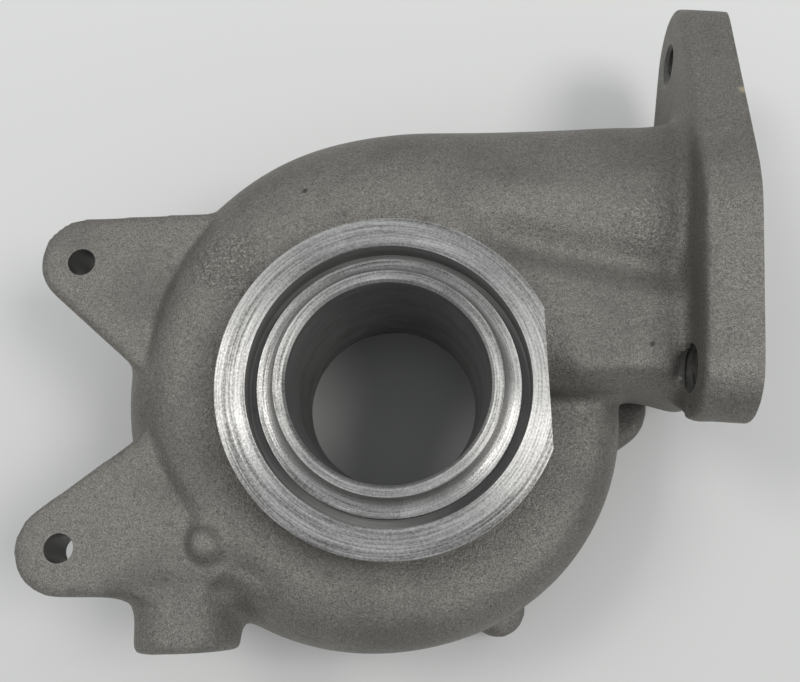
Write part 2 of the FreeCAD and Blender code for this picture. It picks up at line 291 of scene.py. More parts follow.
def casting_blank():
    """The whole casting before machining: the solid's skin with stock where it is cut later."""
    bm = bmesh.new()
    bm.from_mesh(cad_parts[NODE].data)
    bmesh.ops.remove_doubles(bm, verts=bm.verts, dist=0.001 * MM)
    for v in bm.verts:
        if v.co.x > (FLANGE_FACE - 0.01) * MM:
            v.co.x += STOCK * MM
        if v.co.z < 0.01 * MM:
            v.co.z -= STOCK * MM
    add_lathe(bm, [(0, WAIST[1]), (NECK_R - 1.0, WAIST[1]), (NECK_R, RING_UNDER - (RING_R - NECK_R)),
                   (RING_R, RING_UNDER), (RING_R, RING_FACE + LIP_HEIGHT + STOCK),
                   (0, RING_FACE + LIP_HEIGHT + STOCK)])
    add_lathe(bm, [(0, -STOCK), (RECESS_R + 1.0, -STOCK), (RECESS_R + 1.0, RECESS_DEPTH + 1.0),
                   (PILOT_R + 1.0, RECESS_DEPTH + 1.0), (PILOT_R + 1.0, PILOT_DEPTH + 1.0),
                   (0, PILOT_DEPTH + 1.0)])
    for x, y in LUG_HOLES:
        add_rod(bm, (x, y, LUG_BOTTOM), (0, 0, 1), LUG_TOP - LUG_BOTTOM, LUG_R + 0.4)
    for y, z in STUD_HOLES:
        add_rod(bm, (FLANGE_BACK, y, z), (1, 0, 0), FLANGE_FACE + STOCK - FLANGE_BACK, STUD_MOUTH_R + 0.3)
    for x, y in bolt_places():
        add_rod(bm, (x, y, -STOCK), (0, 0, 1), BOLT_DEPTH, BOLT_R)
    turn = math.radians(NUB_TURN)
    place = Matrix.Translation((NUB_DISTANCE * MM * math.cos(turn), NUB_DISTANCE * MM * math.sin(turn), 0))
    add_lathe(bm, [(0, LUG_BOTTOM), (NUB_R, LUG_BOTTOM), (NUB_R, NUB_TOP - 1.8), (NUB_R - 0.9, NUB_TOP - 0.7),
                   (NUB_R - 2.2, NUB_TOP - 0.15), (0, NUB_TOP)], ROD_STEPS, place)
    for start in FLASH_NUBS:
        add_rod(bm, start, (0, 1, 0), FLASH_LENGTH, FLASH_R)
    turn = math.radians(STUB_TURN)
    axis = Vector((math.sin(turn), -math.cos(turn), 0))
    add_rod(bm, Vector(STUB_END) - STUB_LENGTH * axis, axis, STUB_LENGTH, STUB_R)
    mesh = bpy.data.meshes.new("housing_casting")
    bm.to_mesh(mesh)
    bm.free()
    blank = new_piece("housing_casting", mesh)
    skin = blank.modifiers.new("skin", "REMESH")
    skin.mode = "VOXEL"
    skin.voxel_size = VOXEL * MM
    return applied(blank)


def corner_normals(points, faces):
    """Unit normal at each point from the quads round it."""
    across = np.cross(points[faces[:, 2]] - points[faces[:, 0]], points[faces[:, 3]] - points[faces[:, 1]])
    out = np.stack([np.bincount(faces.ravel(), np.repeat(across[:, c], 4), len(points)) for c in range(3)], 1)
    return out / np.maximum(np.linalg.norm(out, axis=1), 1e-20)[:, None]


def bell(distance, width):
    """1 at no distance, falling to nothing past twice the width."""
    return np.exp(-(distance / width) ** 2)


def cast_relief(points):
    """Moves the skin: valley, ridge and south shoulder of the duct, and the creases beside the scroll."""
    x, y, z = (points / MM).T
    top = np.clip((z - RELIEF_Z) / 4.0, 0.0, 1.0)
    along = np.clip((x - 14.0) / 14.0, 0.0, 1.0) * np.clip((74.0 - x) / 5.0, 0.0, 1.0)
    middle = VALLEY_Y - VALLEY_SLOPE * x
    banks = np.clip(1.0 - np.abs(y - middle) / VALLEY_HALF, 0.0, 1.0)
    rise = RIDGE_LIFT * bell(y - middle - RIDGE_REACH, 6.0)
    points[:, 2] += MM * top * along * (rise - VALLEY_DEPTH * banks)
    shoulder = bell(np.hypot(y - SHOULDER[0], z - SHOULDER[1]), 4.5) * SHOULDER_PUSH
    shoulder *= np.clip((x - 38.0) / 8.0, 0.0, 1.0) * np.clip((72.0 - x) / 4.0, 0.0, 1.0)
    points[:, 1] -= MM * 0.6 * shoulder
    points[:, 2] += MM * 0.8 * shoulder
    for crease in CREASES:
        away = near_profile(x, y, crease)
        points[:, 2] -= MM * CREASE_DEPTH * bell(away, CREASE_WIDTH) * np.clip((z - CREASE_Z) / 2.0, 0.0, 1.0)


def cast_rounds(blank):
    """Gives the casting its relief, rounds its corners a little and fills its inner corners."""
    mesh = blank.data
    points = np.empty(len(mesh.vertices) * 3)
    mesh.vertices.foreach_get("co", points)
    points = points.reshape(-1, 3)
    edges = np.empty(len(mesh.edges) * 2, int)
    mesh.edges.foreach_get("vertices", edges)
    edges = edges.reshape(-1, 2)
    faces = np.empty(len(mesh.loops), int)
    mesh.loops.foreach_get("vertex_index", faces)
    faces = faces.reshape(-1, 4)
    ends = np.concatenate([edges[:, 0], edges[:, 1]])
    others = np.concatenate([edges[:, 1], edges[:, 0]])
    count = np.bincount(ends, minlength=len(points))[:, None]

    def pull():
        """Way from each point to the middle of the points joined to it."""
        mean = np.stack([np.bincount(ends, points[others, c], len(points)) for c in range(3)], 1) / count
        return mean - points

    cast_relief(points)
    past_ledge = (points[:, 0] > LEDGE_START * MM) & (points[:, 2] > LEDGE_Z * MM)
    points[past_ledge, 1] = np.minimum(points[past_ledge, 1], LEDGE_Y * MM)
    wide = np.zeros(len(points))
    for place, reach in WIDE_FILLETS:
        away = np.linalg.norm(points / MM - np.array(place), axis=1)
        wide = np.maximum(wide, np.clip(2.0 - 2.0 * away / reach, 0.0, 1.0))
    for k in range(ROUND_STEPS + FILLET_STEPS + WIDE_STEPS):
        move = pull()
        if k >= ROUND_STEPS:
            if k % NORMAL_EVERY == ROUND_STEPS % NORMAL_EVERY:
                normals = corner_normals(points, faces)
            outward = np.maximum(0.0, (move * normals).sum(1))
            if k >= ROUND_STEPS + FILLET_STEPS:
                outward *= wide
            move = normals * outward[:, None]
        points = points + 0.5 * move
    for k in range(LAST_STEPS):
        points = points + 0.5 * pull()
    mesh.vertices.foreach_set("co", points.ravel())
    mesh.update()


def machining_cuts():
    """Everything cut away by lathe, mill and drill, as closed shells."""
    turned = bmesh.new()
    above = RING_FACE + LIP_HEIGHT + 2 * STOCK
    bore = shroud_profile()
    slot = [(INDUCER_R, NOZZLE_TOP), (INDUCER_R, NOZZLE_BOTTOM)]
    outer = seat_profile()
    add_lathe(turned, [(0, above), (RING_R + 3 * OVER, above)] + outer[::-1] + bore[1:] + slot[1:]
              + bearing_profile()[1:] + [(0, -STOCK - OVER)])
    drilled = bmesh.new()
    add_box(drilled, (FLAT_DISTANCE, -FLAT_HALF, FLAT_FOOT), (RING_R + 1.0, FLAT_HALF, above), FLAT_TURN)
    for x, y in LUG_HOLES:
        add_rod(drilled, (x, y, LUG_BOTTOM - OVER), (0, 0, 1), LUG_TOP - LUG_BOTTOM + 2 * OVER, LUG_R)
    for y, z in STUD_HOLES:
        add_rod(drilled, (FLANGE_BACK - OVER, y, z), (1, 0, 0), FLANGE_FACE - FLANGE_BACK + 2 * OVER, STUD_R)
    for x, y in bolt_places():
        add_rod(drilled, (x, y, -OVER), (0, 0, 1), BOLT_DEPTH + OVER, BOLT_R)
    sunk = bmesh.new()
    for y, z in STUD_HOLES:
        place = Matrix.Translation((FLANGE_BACK * MM, y * MM, z * MM))
        place = place @ Matrix.Rotation(0.5 * math.pi, 4, "Y")
        narrow = STUD_R - 0.1
        add_lathe(sunk, [(0, -MOUTH_OVER), (STUD_MOUTH_R, -MOUTH_OVER), (STUD_MOUTH_R, 0),
                         (narrow, STUD_MOUTH_R - narrow), (0, STUD_MOUTH_R - narrow)], ROD_STEPS, place)
    faced = bmesh.new()
    add_box(faced, (FLANGE_FACE, -20.0, -20.0), (FLANGE_FACE + 3 * STOCK, 140.0, 100.0))
    based = bmesh.new()
    add_box(based, (-120.0, -90.0, -3 * STOCK), (FLANGE_FACE + 3 * STOCK, 140.0, 0.0))
    return [closed_piece("turned_cut", turned), closed_piece("faced_cut", faced),
            closed_piece("based_cut", based), closed_piece("drilled_cut", drilled),
            closed_piece("sunk_cut", sunk)]


def cut_away(piece, cutter):
    """Takes the cutter's volume out of the piece, then drops the cutter."""
    cut = piece.modifiers.new("cut", "BOOLEAN")
    cut.operation = "DIFFERENCE"
    cut.solver = "MANIFOLD"
    cut.object = cutter
    applied(piece)
    bpy.data.objects.remove(cutter)


def near_profile(radius, height, profile):
    """Distance from each (radius, height) to a polyline, in millimetres."""
    best = np.full(len(radius), 1e9)
    for (r0, z0), (r1, z1) in zip(profile, profile[1:]):
        along = np.array([r1 - r0, z1 - z0])
        length = float(along @ along)
        share = ((radius - r0) * along[0] + (height - z0) * along[1]) / max(length, 1e-12)
        share = np.clip(share, 0.0, 1.0)
        best = np.minimum(best, np.hypot(radius - r0 - share * along[0], height - z0 - share * along[1]))
    return best


def finish_surfaces(casting, finishes):
    """Gives each face its finish, by the tool that made it.

    The finishes are, in order: as cast, turned, milled, drilled, turned bore and turned groove.
    """
    mesh = casting.data
    mesh.materials.clear()
    for finish in finishes:
        mesh.materials.append(finish)
    count = len(mesh.polygons)
    centre = np.empty(count * 3)
    mesh.polygons.foreach_get("center", centre)
    centre = centre.reshape(-1, 3) / MM
    normal = np.empty(count * 3)
    mesh.polygons.foreach_get("normal", normal)
    normal = normal.reshape(-1, 3)
    x, y, z = centre.T
    radius = np.hypot(x, y)
    slot = np.zeros(count, int)
    turned = near_profile(radius, z, seat_profile() + [(RING_R + OVER, RING_FACE)])
    turned = np.minimum(turned, near_profile(radius, z, shroud_profile()))
    nozzle = [(INDUCER_R, NOZZLE_TOP), (INDUCER_R, NOZZLE_BOTTOM)]
    turned = np.minimum(turned, near_profile(radius, z, nozzle))
    turned = np.minimum(turned, near_profile(radius, z, bearing_profile()))
    slot[turned < NEAR] = 1
    in_groove = (radius > GROOVE_R - GROOVE_WIDTH - NEAR) & (radius < GROOVE_R + NEAR)
    in_groove &= z < RING_FACE - NEAR
    in_bore = (radius < INDUCER_R) & (z < RING_FACE + LIP_HEIGHT - BORE_CHAMFER - NEAR)
    seat = RING_FACE - SEAT_DROP
    slot[(turned < NEAR) & in_bore] = 4
    deep = (z < seat - NEAR) | (radius > GROOVE_R - NEAR)
    slot[(turned < NEAR) & in_groove & deep] = 5
    slot[(np.abs(z) < NEAR) & (normal[:, 2] < -0.9)] = 1
    slot[(np.abs(x - FLANGE_FACE) < NEAR) & (normal[:, 0] > 0.9)] = 2
    turn = math.radians(FLAT_TURN)
    past_flat = x * math.cos(turn) + y * math.sin(turn)
    slot[(np.abs(past_flat - FLAT_DISTANCE) < NEAR) & (z > FLAT_FOOT - NEAR) & (radius < RING_R + 1.0)] = 2
    for hx, hy in LUG_HOLES:
        slot[np.abs(np.hypot(x - hx, y - hy) - LUG_R) < NEAR] = 3
    for hx, hy in bolt_places():
        slot[(np.hypot(x - hx, y - hy) < BOLT_R + NEAR) & (z > NEAR) & (z < BOLT_DEPTH)] = 3
    for hy, hz in STUD_HOLES:
        away = np.hypot(y - hy, z - hz)
        slot[(np.abs(away - STUD_R) < NEAR) & (x > FLANGE_BACK - SPOT_DEPTH - NEAR)] = 3
        # the mouths take the dark drilled finish too, which paints shade into them
        slot[(away < STUD_MOUTH_R + NEAR) & (away > STUD_R - NEAR) & (np.abs(x - FLANGE_BACK) < 1.2)] = 3
    mesh.polygons.foreach_set("material_index", slot)
    mesh.update()


def add_node(tree, kind, place=(0, 0), **values):
    node = tree.nodes.new(kind)
    node.location = place
    for name, value in values.items():
        setattr(node, name, value)
    return node


def shader_group(name, inputs, outputs):
    """New shader group with named sockets; returns the tree and its two end nodes."""
    tree = bpy.data.node_groups.new(name, "ShaderNodeTree")
    for label, kind, default in inputs:
        socket = tree.interface.new_socket(name=label, in_out="INPUT", socket_type=kind)
        if default is not None:
            socket.default_value = default
    for label, kind in outputs:
        tree.interface.new_socket(name=label, in_out="OUTPUT", socket_type=kind)
    return tree, add_node(tree, "NodeGroupInput", (-900, 0)), add_node(tree, "NodeGroupOutput", (900, 0))


def noise(tree, vector, scale, detail=3.0, roughness=0.55):
    node = add_node(tree, "ShaderNodeTexNoise")
    node.inputs["Detail"].default_value = detail
    node.inputs["Roughness"].default_value = roughness
    tree.links.new(vector, node.inputs["Vector"])
    if isinstance(scale, (int, float)):
        node.inputs["Scale"].default_value = scale
    else:
        tree.links.new(scale, node.inputs["Scale"])
    return node.outputs["Fac"]


def maths(tree, operation, a, b=None, c=None, clamp=False):
    node = add_node(tree, "ShaderNodeMath", operation=operation, use_clamp=clamp)
    for socket, value in zip(node.inputs, (a, b, c)):
        if value is None:
            continue
        if isinstance(value, (int, float)):
            socket.default_value = value
        else:
            tree.links.new(value, socket)
    return node.outputs[0]


def spread(tree, value, low, high, to_low=0.0, to_high=1.0):
    """Maps low..high of a value to to_low..to_high, clamped."""
    node = add_node(tree, "ShaderNodeMapRange")
    tree.links.new(value, node.inputs["Value"])
    for label, number in (("From Min", low), ("From Max", high), ("To Min", to_low), ("To Max", to_high)):
        node.inputs[label].default_value = number
    return node.outputs["Result"]


def sand_skin_group():
    """Skin that a sand mould leaves: fine grain, coarser lumps, wide unevenness and rare pits."""
    tree, start, end = shader_group(
        "sand_skin",
        [("Vector", "NodeSocketVector", None), ("Grain", "NodeSocketFloat", 1400.0)],
        [("Height", "NodeSocketFloat"), ("Tone", "NodeSocketFloat"), ("Pits", "NodeSocketFloat")])
    at = start.outputs["Vector"]
    grain = start.outputs["Grain"]
    fine = noise(tree, at, grain, 2.0, 0.6)
    lumps = noise(tree, at, maths(tree, "MULTIPLY", grain, 0.38), 2.0, 0.5)
    wide = noise(tree, at, 120.0, 3.0, 0.5)
    cells = add_node(tree, "ShaderNodeTexVoronoi", feature="F1")
    cells.inputs["Scale"].default_value = 95.0
    tree.links.new(at, cells.inputs["Vector"])
    rare = spread(tree, noise(tree, at, 55.0, 1.0), 0.65, 0.67)
    pits = maths(tree, "MULTIPLY", spread(tree, cells.outputs["Distance"], 0.03, 0.09, 1.0, 0.0), rare)
    height = maths(tree, "MULTIPLY_ADD", lumps, 0.9, maths(tree, "MULTIPLY", fine, 0.6))
    height = maths(tree, "MULTIPLY_ADD", wide, 2.0, height)
    height = maths(tree, "MULTIPLY_ADD", pits, -1.0, height)
    tone = maths(tree, "MULTIPLY_ADD", spread(tree, fine, 0.3, 0.7), 0.78,
                 maths(tree, "MULTIPLY", spread(tree, lumps, 0.3, 0.7), 0.22))
    tree.links.new(height, end.inputs["Height"])
    tree.links.new(tone, end.inputs["Tone"])
    tree.links.new(pits, end.inputs["Pits"])
    return tree


def stains_group():
    """Soft dark clouds and sparse specks of oil and shop dirt."""
    tree, start, end = shader_group(
        "shop_stains",
        [("Vector", "NodeSocketVector", None), ("Size", "NodeSocketFloat", 38.0),
         ("Amount", "NodeSocketFloat", 0.5)],
        [("Mask", "NodeSocketFloat")])
    at = start.outputs["Vector"]
    clouds = noise(tree, at, start.outputs["Size"], 5.0, 0.62)
    specks = noise(tree, at, maths(tree, "MULTIPLY", start.outputs["Size"], 9.0), 2.0, 0.5)
    mask = maths(tree, "MULTIPLY", spread(tree, clouds, 0.46, 0.72), start.outputs["Amount"])
    mask = maths(tree, "MULTIPLY_ADD", spread(tree, specks, 0.66, 0.74), 0.35, mask, True)
    tree.links.new(mask, end.inputs["Mask"])
    return tree


def lathe_lines_group():
    """Concentric marks of a turning tool about Z: fine feed lines, uneven bands and broken arcs."""
    tree, start, end = shader_group(
        "lathe_lines",
        [("Vector", "NodeSocketVector", None), ("Feed", "NodeSocketFloat", 3200.0)],
        [("Height", "NodeSocketFloat"), ("Bands", "NodeSocketFloat"), ("Grit", "NodeSocketFloat"),
         ("Radial", "NodeSocketVector")])
    parts = add_node(tree, "ShaderNodeSeparateXYZ")
    tree.links.new(start.outputs["Vector"], parts.inputs[0])
    x, y, z = parts.outputs
    squares = maths(tree, "MULTIPLY_ADD", x, x, maths(tree, "MULTIPLY", y, y))
    radius = maths(tree, "SQRT", squares)
    across = maths(tree, "ADD", radius, maths(tree, "MULTIPLY", z, -0.83))
    angle = maths(tree, "ARCTAN2", y, x)

    def rings(scale, turns, detail):
        spot = add_node(tree, "ShaderNodeCombineXYZ")
        tree.links.new(maths(tree, "MULTIPLY", across, scale), spot.inputs[0])
        tree.links.new(maths(tree, "MULTIPLY", maths(tree, "SINE", angle), turns), spot.inputs[1])
        tree.links.new(maths(tree, "MULTIPLY", maths(tree, "COSINE", angle), turns), spot.inputs[2])
        return noise(tree, spot.outputs[0], 1.0, detail, 0.6)

    fine = rings(start.outputs["Feed"], 1.1, 1.0)
    broken = rings(maths(tree, "MULTIPLY", start.outputs["Feed"], 0.45), 2.2, 2.0)
    wide = rings(maths(tree, "MULTIPLY", start.outputs["Feed"], 0.12), 0.6, 2.0)
    grit = spread(tree, rings(maths(tree, "MULTIPLY", start.outputs["Feed"], 0.85), 60.0, 2.0), 0.38, 0.62)
    height = maths(tree, "MULTIPLY_ADD", broken, 0.7, maths(tree, "MULTIPLY", fine, 0.6))
    height = maths(tree, "MULTIPLY_ADD", grit, 0.25, height)
    bands = maths(tree, "MULTIPLY_ADD", spread(tree, wide, 0.38, 0.62), 0.32,
                  maths(tree, "MULTIPLY", spread(tree, broken, 0.38, 0.62), 0.28))
    bands = maths(tree, "MULTIPLY_ADD", spread(tree, fine, 0.38, 0.62), 0.4, bands)
    tree.links.new(grit, end.inputs["Grit"])
    flat = add_node(tree, "ShaderNodeCombineXYZ")
    tree.links.new(x, flat.inputs[0])
    tree.links.new(y, flat.inputs[1])
    unit = add_node(tree, "ShaderNodeVectorMath", operation="NORMALIZE")
    tree.links.new(flat.outputs[0], unit.inputs[0])
    tree.links.new(height, end.inputs["Height"])
    tree.links.new(bands, end.inputs["Bands"])
    tree.links.new(unit.outputs[0], end.inputs["Radial"])
    return tree


def new_material(name):
    material = bpy.data.materials.new(name)
    material.use_nodes = True
    tree = material.node_tree
    shader = tree.nodes["Principled BSDF"]
    at = add_node(tree, "ShaderNodeTexCoord", (-1400, 0)).outputs["Object"]
    return material, tree, shader, at


def placed(tree, group, at, **values):
    """A shader group in this material, read at these coordinates."""
    node = add_node(tree, "ShaderNodeGroup", (-1000, 0), node_tree=group)
    tree.links.new(at, node.inputs["Vector"])
    for label, value in values.items():
        node.inputs[label].default_value = value
    return node


def tint(tree, mask, low, high):
    """Colour that runs from low to high with a mask."""
    mix = add_node(tree, "ShaderNodeMix", (-300, 200), data_type="RGBA")
    colours = [k for k in mix.inputs if k.type == "RGBA"]
    tree.links.new(mask, mix.inputs[0])
    for socket, value in zip(colours, (low, high)):
        if isinstance(value, tuple):
            socket.default_value = (*value, 1.0)
        else:
            tree.links.new(value, socket)
    return [k for k in mix.outputs if k.type == "RGBA"][0]


def bumped(tree, shader, height, strength, distance):
    """Gives the shader's normal the relief of a height."""
    bump = add_node(tree, "ShaderNodeBump", (-200, -300))
    bump.inputs["Strength"].default_value = strength
    bump.inputs["Distance"].default_value = distance
    tree.links.new(height, bump.inputs["Height"])
    tree.links.new(bump.outputs["Normal"], shader.inputs["Normal"])


def patch_mask(tree, at, centre, reach):
    """1 at a place on the casting, falling to 0 at its reach, with a ragged rim."""
    away = add_node(tree, "ShaderNodeVectorMath", operation="DISTANCE")
    tree.links.new(at, away.inputs[0])
    away.inputs[1].default_value = tuple(c * MM for c in centre)
    ragged = maths(tree, "MULTIPLY_ADD", noise(tree, at, 420.0, 3.0), 0.5 * reach * MM, away.outputs["Value"])
    return spread(tree, ragged, 0.75 * reach * MM, 1.2 * reach * MM, 1.0, 0.0)


def cast_iron(sand, stains):
    """Grey-brown sand-cast iron, blasted clean, with wear on its corners, painted shade in its hollows and
    creases, and painted highlights on its rough patches.
    """
    material, tree, shader, at = new_material("cast_iron_skin")
    skin = placed(tree, sand, at, Grain=CAST_GRAIN)
    dirt = placed(tree, stains, at, Size=34.0, Amount=0.5)
    wear_and_painted_shade = add_node(tree, "ShaderNodeNewGeometry").outputs["Pointiness"]
    rough_patch = patch_mask(tree, at, *ROUGH_SPOT)
    rough_patch = maths(tree, "MULTIPLY_ADD", patch_mask(tree, at, *DUCT_SPOT), 0.6, rough_patch)
    chip = patch_mask(tree, at, *CHIP)
    colour = tint(tree, skin.outputs["Tone"], (0.074, 0.070, 0.063), (0.300, 0.284, 0.257))
    colour = tint(tree, dirt.outputs["Mask"], colour, (0.075, 0.071, 0.066))
    # Pointiness: sharp corners lighter from wear
    colour = tint(tree, spread(tree, wear_and_painted_shade, 0.52, 0.60, 0.0, 0.4), colour, (0.34, 0.325, 0.30))
    # painted shade: hollows and creases darkened towards (0.075, 0.07, 0.062)
    colour = tint(tree, spread(tree, wear_and_painted_shade, 0.44, 0.485, 0.65, 0.0), colour, (0.075, 0.07, 0.062))
    # painted highlights: light base-colour specks inside the rough patches, standing in for specular sparkle
    painted_glints = spread(tree, noise(tree, at, 1500.0, 2.0, 0.5), 0.54, 0.66, 0.0, 0.5)
    colour = tint(tree, maths(tree, "MULTIPLY", painted_glints, rough_patch), colour, (0.52, 0.50, 0.46))
    colour = tint(tree, chip, colour, (0.42, 0.36, 0.26))
    colour = tint(tree, skin.outputs["Pits"], colour, (0.05, 0.048, 0.045))
    tree.links.new(colour, shader.inputs["Base Color"])
    shader.inputs["Metallic"].default_value = 0.45
    tree.links.new(spread(tree, skin.outputs["Tone"], 0.0, 1.0, 0.62, 0.46), shader.inputs["Roughness"])
    lumps = maths(tree, "MULTIPLY", noise(tree, at, 800.0, 3.0, 0.6), rough_patch)
    height = maths(tree, "MULTIPLY_ADD", lumps, 7.0, skin.outputs["Height"])
    bumped(tree, shader, height, 0.8, 0.00022)
    return material


def turned_iron(lines, stains):
    """Bright iron with the concentric marks of the lathe."""
    material, tree, shader, at = new_material("turned_iron")
    marks = placed(tree, lines, at, Feed=TURNED_FEED)
    dirt = placed(tree, stains, at, Size=60.0, Amount=0.35)
    bright = maths(tree, "MULTIPLY_ADD", marks.outputs["Grit"], 0.25,
                   maths(tree, "MULTIPLY", marks.outputs["Bands"], 0.75))
    colour = tint(tree, bright, (0.10, 0.098, 0.095), (0.68, 0.67, 0.65))
    colour = tint(tree, dirt.outputs["Mask"], colour, (0.16, 0.155, 0.145))
    tree.links.new(colour, shader.inputs["Base Color"])
    shader.inputs["Metallic"].default_value = 1.0
    tree.links.new(spread(tree, bright, 0.0, 1.0, 0.46, 0.26), shader.inputs["Roughness"])
    shader.inputs["Anisotropic"].default_value = 0.9
    tree.links.new(marks.outputs["Radial"], shader.inputs["Tangent"])
    bumped(tree, shader, marks.outputs["Height"], 0.5, 0.00006)
    return material


def shaded_iron(name, lines, stains, low, high):
    """Turned walls down in the groove and the bore: dull and a little dirty, and darker than the turned faces
    as painted shade of the deep recesses.
    """
    material, tree, shader, at = new_material(name)
    marks = placed(tree, lines, at, Feed=TURNED_FEED)
    dirt = placed(tree, stains, at, Size=70.0, Amount=0.6)
    colour = tint(tree, marks.outputs["Bands"], low, high)
    colour = tint(tree, dirt.outputs["Mask"], colour, tuple(0.7 * c for c in low))
    tree.links.new(colour, shader.inputs["Base Color"])
    shader.inputs["Metallic"].default_value = 0.25
    tree.links.new(spread(tree, marks.outputs["Bands"], 0.0, 1.0, 0.68, 0.55), shader.inputs["Roughness"])
    bumped(tree, shader, marks.outputs["Height"], 0.5, 0.00006)
    return material


def milled_iron(stains):
    """Flat faces cut by a milling cutter: long shallow arcs, a little duller than the turned ones."""
    material, tree, shader, at = new_material("milled_iron")
    arcs = add_node(tree, "ShaderNodeTexWave", wave_type="RINGS", rings_direction="SPHERICAL")
    arcs.inputs["Scale"].default_value = 520.0
    arcs.inputs["Distortion"].default_value = 1.2
    arcs.inputs["Detail"].default_value = 3.0
    shifted = add_node(tree, "ShaderNodeMapping")
    shifted.inputs["Location"].default_value = tuple(-c for c in CUTTER_CENTRE)
    tree.links.new(at, shifted.inputs["Vector"])
    tree.links.new(shifted.outputs["Vector"], arcs.inputs["Vector"])
    dirt = placed(tree, stains, at, Size=45.0, Amount=0.45)
    colour = tint(tree, arcs.outputs["Fac"], (0.34, 0.33, 0.31), (0.47, 0.46, 0.44))
    colour = tint(tree, dirt.outputs["Mask"], colour, (0.2, 0.19, 0.175))
    tree.links.new(colour, shader.inputs["Base Color"])
    shader.inputs["Metallic"].default_value = 1.0
    tree.links.new(spread(tree, arcs.outputs["Fac"], 0.0, 1.0, 0.46, 0.34), shader.inputs["Roughness"])
    bumped(tree, shader, arcs.outputs["Fac"], 0.25, 0.00004)
    return material


def drilled_iron(stains):
    """Walls and threads of the drilled holes: dull and a little dirty, and darker as painted shade inside the
    holes.
    """
    material, tree, shader, at = new_material("drilled_iron")
    dirt = placed(tree, stains, at, Size=120.0, Amount=0.7)
    grain = noise(tree, at, 900.0, 2.0)
    # base colour kept dark: partly painted shade of the hole walls and mouths
    colour = tint(tree, grain, (0.09, 0.088, 0.083), (0.17, 0.166, 0.158))
    colour = tint(tree, dirt.outputs["Mask"], colour, (0.12, 0.11, 0.10))
    tree.links.new(colour, shader.inputs["Base Color"])
    shader.inputs["Metallic"].default_value = 0.6
    tree.links.new(spread(tree, grain, 0.2, 0.8, 0.38, 0.55), shader.inputs["Roughness"])
    bumped(tree, shader, grain, 0.3, 0.00005)
    return material


def thread_tree():
    """Geometry Nodes: a helical thread ridge put into every hole of a set."""
    tree = bpy.data.node_groups.new("hole_threads", "GeometryNodeTree")
    tree.interface.new_socket(name="Geometry", in_out="INPUT", socket_type="NodeSocketGeometry")
    for label, kind, default in (("Radius", "NodeSocketFloat", 0.005),
                                 ("Pitch", "NodeSocketFloat", 0.00125),
                                 ("Depth", "NodeSocketFloat", 0.0007), ("Length", "NodeSocketFloat", 0.012),
                                 ("Turn", "NodeSocketRotation", None),
                                 ("Finish", "NodeSocketMaterial", None)):
        socket = tree.interface.new_socket(name=label, in_out="INPUT", socket_type=kind)
        if default is not None:
            socket.default_value = default
    tree.interface.new_socket(name="Geometry", in_out="OUTPUT", socket_type="NodeSocketGeometry")
    start = add_node(tree, "NodeGroupInput", (-900, 0))
    end = add_node(tree, "NodeGroupOutput", (900, 0))
    link = tree.links.new
    turns = maths(tree, "DIVIDE", start.outputs["Length"], start.outputs["Pitch"])
    helix = add_node(tree, "GeometryNodeCurveSpiral")
    helix.inputs["Resolution"].default_value = 20
    link(turns, helix.inputs["Rotations"])
    link(start.outputs["Radius"], helix.inputs["Start Radius"])
    link(start.outputs["Radius"], helix.inputs["End Radius"])
    link(start.outputs["Length"], helix.inputs["Height"])
    ridge = add_node(tree, "GeometryNodeCurvePrimitiveCircle")
    ridge.inputs["Resolution"].default_value = 4
    link(start.outputs["Depth"], ridge.inputs["Radius"])
    swept = add_node(tree, "GeometryNodeCurveToMesh")
    swept.inputs["Fill Caps"].default_value = True
    link(helix.outputs["Curve"], swept.inputs["Curve"])
    link(ridge.outputs["Curve"], swept.inputs["Profile Curve"])
    copies = add_node(tree, "GeometryNodeInstanceOnPoints")
    link(start.outputs["Geometry"], copies.inputs["Points"])
    link(swept.outputs["Mesh"], copies.inputs["Instance"])
    link(start.outputs["Turn"], copies.inputs["Rotation"])
    real = add_node(tree, "GeometryNodeRealizeInstances")
    link(copies.outputs["Instances"], real.inputs["Geometry"])
    coat = add_node(tree, "GeometryNodeSetMaterial")
    link(real.outputs["Geometry"], coat.inputs["Geometry"])
    link(start.outputs["Finish"], coat.inputs["Material"])
    link(coat.outputs["Geometry"], end.inputs["Geometry"])
    return tree


def threads(name, tree, places, finish, **values):
    """Threads in the holes at these places, as one plain mesh."""
    mesh = bpy.data.meshes.new(name)
    mesh.from_pydata([tuple(c * MM for c in place) for place in places], [], [])
    piece = new_piece(name, mesh)
    cutter = piece.modifiers.new("threads", "NODES")
    cutter.node_group = tree
    sockets = {item.name: item.identifier for item in tree.interface.items_tree if item.in_out == "INPUT"}
    for label, value in values.items():
        cutter[sockets[label]] = value
    cutter[sockets["Finish"]] = finish
    applied(piece)
    piece.data.shade_smooth()
    piece.data.set_sharp_from_angle(angle=math.radians(THREAD_SHARP_ANGLE))
    return piece


def take_photo_view():
    """Camera where the photo was taken from: nearly straight down, a little from the south."""
    data = bpy.data.cameras.new("camera")
    data.lens = LENS
    data.sensor_width = SENSOR
    data.clip_start = 0.01
    data.clip_end = 20.0
    camera = bpy.data.objects.new("camera", data)
    right = Vector(CAMERA_RIGHT)
    up = Vector(CAMERA_UP)
    back = right.cross(up)
    turn = Matrix((right, up, back)).transposed().to_4x4()
    camera.matrix_world = Matrix.Translation(Vector(CAMERA_PLACE) * MM) @ turn
    bpy.context.scene.collection.objects.link(camera)
    bpy.context.scene.camera = camera


def area_lamp(name, place, aim, size, watts, colour):
    """Soft window light, in metres and watts."""
    data = bpy.data.lights.new(name, "AREA")
    data.shape = "RECTANGLE"
    data.size, data.size_y = size
    data.energy = watts
    data.color = colour
    lamp = bpy.data.objects.new(name, data)
    lamp.location = place
    lamp.rotation_euler = (Vector(aim) - Vector(place)).to_track_quat("-Z", "Y").to_euler()
    bpy.context.scene.collection.objects.link(lamp)


